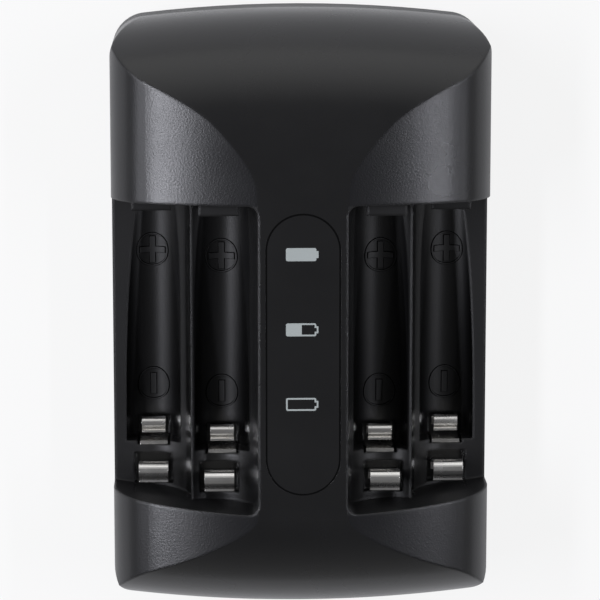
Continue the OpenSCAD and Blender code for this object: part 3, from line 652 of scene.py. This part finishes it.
def outward(vertex):
    """Way out of the sheet at one of its border points, long enough to keep the slope even."""
    ways = []
    for edge in vertex.link_edges:
        if edge.is_boundary:
            run = edge.link_loops[0].link_loop_next.vert.co - edge.link_loops[0].vert.co
            ways.append(Vector((run.y, -run.x, 0)).normalized())
    if len(ways) != 2:
        return Vector((0, 0, 0))
    return (ways[0] + ways[1]) / max(LEAST_SPREAD, 1 + ways[0].dot(ways[1]))


def laid_film(name, outlines, lay, rise, sink, slope, strip, finishes):
    """Closed film on a face: lay turns x, y and a lift into a point. The sides get the last finish."""
    sheet = filled(outlines, strip)
    sheet.verts.index_update()
    top = [v.co.copy() for v in sheet.verts]
    foot = [v.co + slope * outward(v) for v in sheet.verts]
    faces = [[v.index for v in f.verts] for f in sheet.faces]
    rims = [(e.link_loops[0].vert.index, e.link_loops[0].link_loop_next.vert.index)
            for e in sheet.edges if e.is_boundary]
    sheet.free()
    n = len(top)
    points = [lay(p.x, p.y, rise) for p in top] + [lay(p.x, p.y, -sink) for p in foot]
    faces += [[n + k for k in reversed(f)] for f in faces] + [(b, a, n + a, n + b) for a, b in rims]
    data = bpy.data.meshes.new(name)
    data.from_pydata(points, [], faces)
    for finish in finishes:
        data.materials.append(finish)
    for face in data.polygons[-len(rims):]:
        face.material_index = len(finishes) - 1
    film = bpy.data.objects.new(name, data)
    bpy.context.scene.collection.objects.link(film)
    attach(film, "housing")
    return film


print("film ready")


# %% Charge symbols and the painted shade over the window's seam
FILLED = {"full": 1.0, "half": 0.52, "empty": 0.0}


def on_window(x, y, lift):
    """Point above the flat front of the window."""
    return Vector((x, y, FRONT_Z + lift)) * MM


def charge_symbol(level, share):
    """A cell on its side, filled from the left by a share of its length."""
    y = SYMBOL_Y[level]
    x0 = SYMBOL_X - SYMBOL_W / 2
    outlines = [cell_outline(x0, y, 0.0)]
    if share < 1:
        filled_to = max(SYMBOL_LINE, share * (SYMBOL_W - NUB_W))
        outlines.append(cell_outline(x0 + filled_to, y, SYMBOL_LINE))
    return laid_film(f"charge_symbol_{level}", outlines, on_window, INK_RISE, INK_SINK, 0.0,
                     INK_STRIP, [INK])


def stadium_outline(grow, steps=24):
    """Outline of the window, moved outwards, in order."""
    half_w = (window_high.x - window_low.x) / 2 / MM
    ends = ((window_high.y / MM - half_w, 0), (window_low.y / MM + half_w, 180))
    return [((half_w + grow) * math.cos(a), y + (half_w + grow) * math.sin(a))
            for y, start in ends
            for a in (math.radians(start + 180 * k / steps) for k in range(steps + 1))]


# Painted shade: a near-black band over the gap around the window, where its shadow falls.
seam_shade = laid_film("window_seam_shade", [stadium_outline(SEAM_SHADE_OUT), stadium_outline(SEAM_SHADE_IN)], on_window,
                 INK_RISE, SEAM_SHADE_SINK, 0.0, INK_STRIP, [SHADE_LINE_PLASTIC])
symbols = [charge_symbol(level, share) for level, share in FILLED.items()]
print("films:", [film.name for film in [seam_shade] + symbols])

# %% [markdown]
# ## Polarity marks in the channels
# Each small channel has a ringed plus near its upper end and a ringed bar near its springs, so
# that a cell goes in the right way round. On the real moulding they stand a little proud, and
# their steep sides show as thin dark lines. The same film as for the symbols makes them, this
# time thicker, with sloping sides, and laid on the round floor of the channel: a point is given
# by its way round the channel and its way along it. The sloping sides get a near-black finish
# that mirrors little, so the thin dark lines are painted shade.

# %% Channel floors
AAA_R = 5.3
BAY_FLOOR = {1: OUTER_FLOOR, 2: INNER_FLOOR, 3: INNER_FLOOR, 4: OUTER_FLOOR}
CHANNEL_X = {1: -28.75, 2: -15.35, 3: 15.35, 4: 28.75}
DIP_TOP = 0.7
CHANNEL_RUN = BAY_TOP - BAY_BOTTOM - SPRING_RUN
TILT = math.atan((DIP_BOTTOM - DIP_TOP) / CHANNEL_RUN)


def channel_of(bay):
    """Lay points on the floor of one channel: x runs round it and y up along it."""
    out = Vector((0, -math.sin(TILT), math.cos(TILT)))
    axis = Vector((0, math.cos(TILT), math.sin(TILT)))
    start = Vector((CHANNEL_X[bay], BAY_TOP, BAY_FLOOR[bay] - DIP_TOP + AAA_R))

    def lay(x, y, lift):
        turn = x / AAA_R
        reach = math.sin(turn) * Vector((1, 0, 0)) - math.cos(turn) * out
        return (start + (y - BAY_TOP) / math.cos(TILT) * axis + (AAA_R - lift) * reach) * MM
    return lay


print("channels lean by", round(math.degrees(TILT), 2), "degrees")

# %% Polarity marks
PLUS_Y = 10.9
MINUS_Y = -16.35
RING_R = 3.2
RING_HALF = 0.1
BAR_HALF = 0.55
PLUS_REACH = 2.6
MINUS_REACH = 2.1
MARK_RISE = 0.22
MARK_SLOPE = 0.16
MARK_SINK = 0.05
MARK_STRIP = 0.35


def circle(y, radius, steps=72):
    return [(radius * math.cos(a), y + radius * math.sin(a))
            for a in (2 * math.pi * k / steps for k in range(steps))]


def plus_outline(y):
    """The twelve corners of a plus, in order."""
    w, r = BAR_HALF, PLUS_REACH
    corners = ((w, r), (-w, r), (-w, w), (-r, w), (-r, -w), (-w, -w),
               (-w, -r), (w, -r), (w, -w), (r, -w), (r, w), (w, w))
    return [(x, y + up) for x, up in corners]


def bar_outline(y):
    """The four corners of a bar that stands up along the channel."""
    w, r = BAR_HALF, MINUS_REACH
    return [(x, y + up) for x, up in ((w, r), (-w, r), (-w, -r), (w, -r))]


def polarity_marks(bay):
    outlines = [plus_outline(PLUS_Y), bar_outline(MINUS_Y)]
    for y in (PLUS_Y, MINUS_Y):
        outlines += [circle(y, RING_R + RING_HALF), circle(y, RING_R - RING_HALF)]
    # The sides of the marks get the painted shade finish.
    return laid_film(f"polarity_marks_{bay}", outlines, channel_of(bay), MARK_RISE, MARK_SINK,
                     MARK_SLOPE, MARK_STRIP, [MARK_PLASTIC, SHADE_LINE_PLASTIC])


marks = [polarity_marks(bay) for bay in BAY_FLOOR]
print("marks:", [(m.name, len(m.data.polygons)) for m in marks])

# %% [markdown]
# ## The studio
# Black plastic shows little of its own colour. What the eye reads is what it mirrors, so the
# light is built as a photographer builds it: a pale room that is bright near the horizon and
# beyond the upper end, and dim overhead, where the camera looks through. A long, narrow soft box
# at each side lays its mirror image along the lobes, and a wide, weak one below it fills the
# shoulders. The floor is pale and plain, and nearly white where the camera sees it.

# %% Room light
ROOM_OVERHEAD = 0.095
ROOM_HORIZON = 0.34
ROOM_UPPER = 1.05
HORIZON_RANGE = (0.15, 0.8)
UPPER_RANGE = (0.55, 0.97)


def make_room():
    world = bpy.data.worlds.new("pale_room")
    bpy.context.scene.world = world
    world.use_nodes = True
    tree = world.node_tree
    shade = tree.nodes["Background"]
    place = tree.nodes.new("ShaderNodeTexCoord")
    _, along, height = split_vector(tree, place.outputs["Generated"])
    sides = map_range(tree, height, *HORIZON_RANGE, ROOM_HORIZON, ROOM_OVERHEAD)
    upper = map_range(tree, along, *UPPER_RANGE, ROOM_OVERHEAD, ROOM_UPPER)
    glow = math_node(tree, "MAXIMUM", sides, upper)
    path = tree.nodes.new("ShaderNodeLightPath")
    strength = map_range(tree, path.outputs["Is Camera Ray"], 0.0, 1.0, glow, 1.0)
    tree.links.new(strength, shade.inputs["Strength"])
    shade.inputs["Color"].default_value = (1.0, 1.0, 1.0, 1.0)
    return world


make_room()
print("room made")


# %% Soft boxes
BOX_COLOUR = (0.96, 0.97, 1.05)
FRONT_CENTRE = Vector((0, 0, 30 * MM))
UP_THE_BODY = Vector((0, 1, 0))


def soft_box(name, place, width, length, power):
    """Rectangular light in metres and watts, its long side up the body, aimed at the front."""
    data = bpy.data.lights.new(name, "AREA")
    data.shape = "RECTANGLE"
    data.size = width
    data.size_y = length
    data.energy = power
    data.color = BOX_COLOUR
    box = bpy.data.objects.new(name, data)
    bpy.context.scene.collection.objects.link(box)
    back = (Vector(place) - FRONT_CENTRE).normalized()
    side = UP_THE_BODY.cross(back).normalized()
    turn = Matrix((side, back.cross(side), back)).transposed().to_4x4()
    box.matrix_world = Matrix.Translation(Vector(place)) @ turn
    return box


soft_box("left_box", (-0.525, 0.12, 0.70), 0.08, 0.72, 4.7)
soft_box("right_box", (0.54, 0.14, 0.69), 0.03, 0.70, 2.0)
soft_box("left_fill", (-0.76, 0.13, 0.48), 0.26, 0.72, 1.5)
soft_box("right_fill", (0.76, 0.13, 0.48), 0.26, 0.72, 0.8)

# %% Floor
FLOOR_HALF = 3.0
FLOOR_DROP = 0.02 * MM
FLOOR_COLOUR = (0.72, 0.72, 0.72, 1)
SEEN_WHITE = 0.85
MIRRORED_WHITE = 0.3


def mix_shaders(tree, factor, first, second):
    node = tree.nodes.new("ShaderNodeMixShader")
    for socket, value in zip(node.inputs, (factor, first, second)):
        tree.links.new(value, socket)
    return node.outputs[0]


def finish_floor():
    """Pale floor, nearly white to the camera, part white in mirrors and open from below."""
    material, tree, shader, _ = new_material("pale_floor")
    shader.inputs["Base Color"].default_value = FLOOR_COLOUR
    shader.inputs["Roughness"].default_value = 0.9
    shader.inputs["IOR"].default_value = 1.2
    white = add_node(tree, "ShaderNodeEmission", Strength=1.0)
    path = tree.nodes.new("ShaderNodeLightPath").outputs
    mirrored = math_node(tree, "MAXIMUM", path["Is Glossy Ray"], path["Is Transmission Ray"])
    share = math_node(tree, "MAXIMUM",
                      math_node(tree, "MULTIPLY", path["Is Camera Ray"], SEEN_WHITE),
                      math_node(tree, "MULTIPLY", mirrored, MIRRORED_WHITE))
    lit = mix_shaders(tree, share, shader.outputs[0], white.outputs[0])
    below = tree.nodes.new("ShaderNodeNewGeometry").outputs["Backfacing"]
    clear = tree.nodes.new("ShaderNodeBsdfTransparent")
    sided = mix_shaders(tree, below, lit, clear.outputs[0])
    tree.links.new(sided, tree.nodes["Material Output"].inputs["Surface"])
    return material


def make_floor():
    corners = [(x * FLOOR_HALF, y * FLOOR_HALF, -FLOOR_DROP)
               for x, y in ((-1, -1), (1, -1), (1, 1), (-1, 1))]
    data = bpy.data.meshes.new("floor")
    data.from_pydata(corners, [], [range(4)])
    data.materials.append(finish_floor())
    floor = bpy.data.objects.new("floor", data)
    bpy.context.scene.collection.objects.link(floor)
    return floor


make_floor()
bpy.context.scene.view_settings.view_transform = "Standard"
print("floor made")
